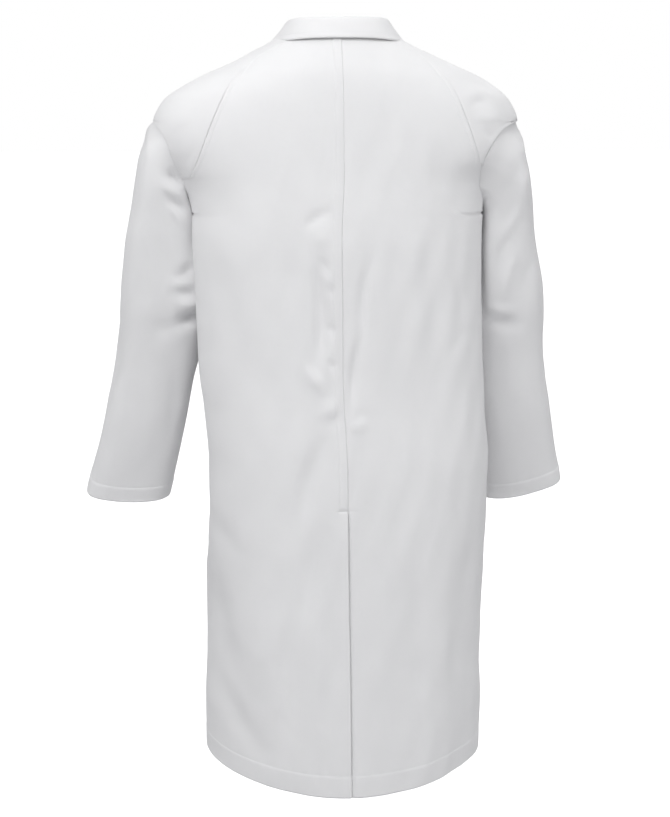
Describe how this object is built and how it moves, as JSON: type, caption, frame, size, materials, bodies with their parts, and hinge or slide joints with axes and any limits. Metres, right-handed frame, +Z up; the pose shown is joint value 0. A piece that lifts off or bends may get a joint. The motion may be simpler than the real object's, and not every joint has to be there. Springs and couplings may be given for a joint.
{
  "type": "lab coat",
  "caption": "Long white laboratory coat with raglan sleeves, turned-down collar and lapels, button front, patch pockets and a centre-back vent, shaped as worn.",
  "frame": {"origin": "the middle of the neck at the height of the back neck seam", "axes": "+Z up along the wearer's body, +Y towards the wearer's back, +X towards the wearer's left, so the front faces -Y"},
  "size_m": [0.6776, 0.2997, 1.0546],
  "materials": {
    "coat_cotton": "matte white cotton-polyester twill",
    "facing_cotton": "the same twill, inner layers",
    "loop_tape": "white woven tape",
    "button_plastic": "white, slightly pearly"
  },
  "bodies": {
    "root": {"back_left_upper": "coat_cotton", "back_right_upper": "coat_cotton", "front_left_upper": "coat_cotton", "front_right_upper": "coat_cotton", "raglan_left_back": "coat_cotton", "raglan_left_front": "coat_cotton", "raglan_right_back": "coat_cotton", "raglan_right_front": "coat_cotton", "top_collar": "coat_cotton", "collar_interlining": "facing_cotton", "under_collar": "coat_cotton", "lapel_left": "coat_cotton", "lapel_right": "coat_cotton", "facing_left": "facing_cotton", "facing_right": "facing_cotton", "back_neck_facing": "facing_cotton", "size_label": "loop_tape", "hanger_loop": "loop_tape", "chest_pocket": "coat_cotton", "hip_pocket_left": "coat_cotton", "hip_pocket_right": "coat_cotton", "button_1": "button_plastic", "button_2": "button_plastic", "button_3": "button_plastic", "button_4": "button_plastic", "button_5": "button_plastic"},
    "left_sleeve": {"sleeve_left_back": "coat_cotton", "sleeve_left_front": "coat_cotton"},
    "right_sleeve": {"sleeve_right_back": "coat_cotton", "sleeve_right_front": "coat_cotton"},
    "back_left_tail": {"back_left_skirt": "coat_cotton"},
    "back_right_tail": {"back_right_skirt": "coat_cotton"},
    "front_left_tail": {"front_left_skirt": "coat_cotton", "facing_left_skirt": "facing_cotton"},
    "front_right_tail": {"front_right_skirt": "coat_cotton", "facing_right_skirt": "facing_cotton"}
  },
  "joints": [
    {"name": "sleeve_left_raise", "type": "hinge", "parent": "root", "child": "left_sleeve", "pos_m": [0.246, -0.008, -0.138], "axis": [0, -1, 0], "range_deg": [0, 65]},
    {"name": "sleeve_right_raise", "type": "hinge", "parent": "root", "child": "right_sleeve", "pos_m": [-0.246, -0.008, -0.138], "axis": [0, 1, 0], "range_deg": [0, 65]},
    {"name": "vent_left_swing", "type": "hinge", "parent": "root", "child": "back_left_tail", "pos_m": [0.19, -0.008, -0.85], "axis": [0, 0, -1], "range_deg": [0, 24], "stiffness_Nm_per_rad": 0.5},
    {"name": "vent_right_swing", "type": "hinge", "parent": "root", "child": "back_right_tail", "pos_m": [-0.2075, -0.008, -0.85], "axis": [0, 0, 1], "range_deg": [0, 12], "stiffness_Nm_per_rad": 0.5},
    {"name": "front_left_swing", "type": "hinge", "parent": "root", "child": "front_left_tail", "pos_m": [0.19, -0.008, -0.85], "axis": [0, 0, 1], "range_deg": [0, 30], "stiffness_Nm_per_rad": 0.5},
    {"name": "front_right_swing", "type": "hinge", "parent": "root", "child": "front_right_tail", "pos_m": [-0.2075, -0.008, -0.85], "axis": [0, 0, -1], "range_deg": [0, 18], "stiffness_Nm_per_rad": 0.5}
  ],
  "couplings": [
    {"joint": "vent_right_swing", "follows": "vent_left_swing", "ratio": 0.5},
    {"joint": "front_right_swing", "follows": "front_left_swing", "ratio": 0.6}
  ]
}
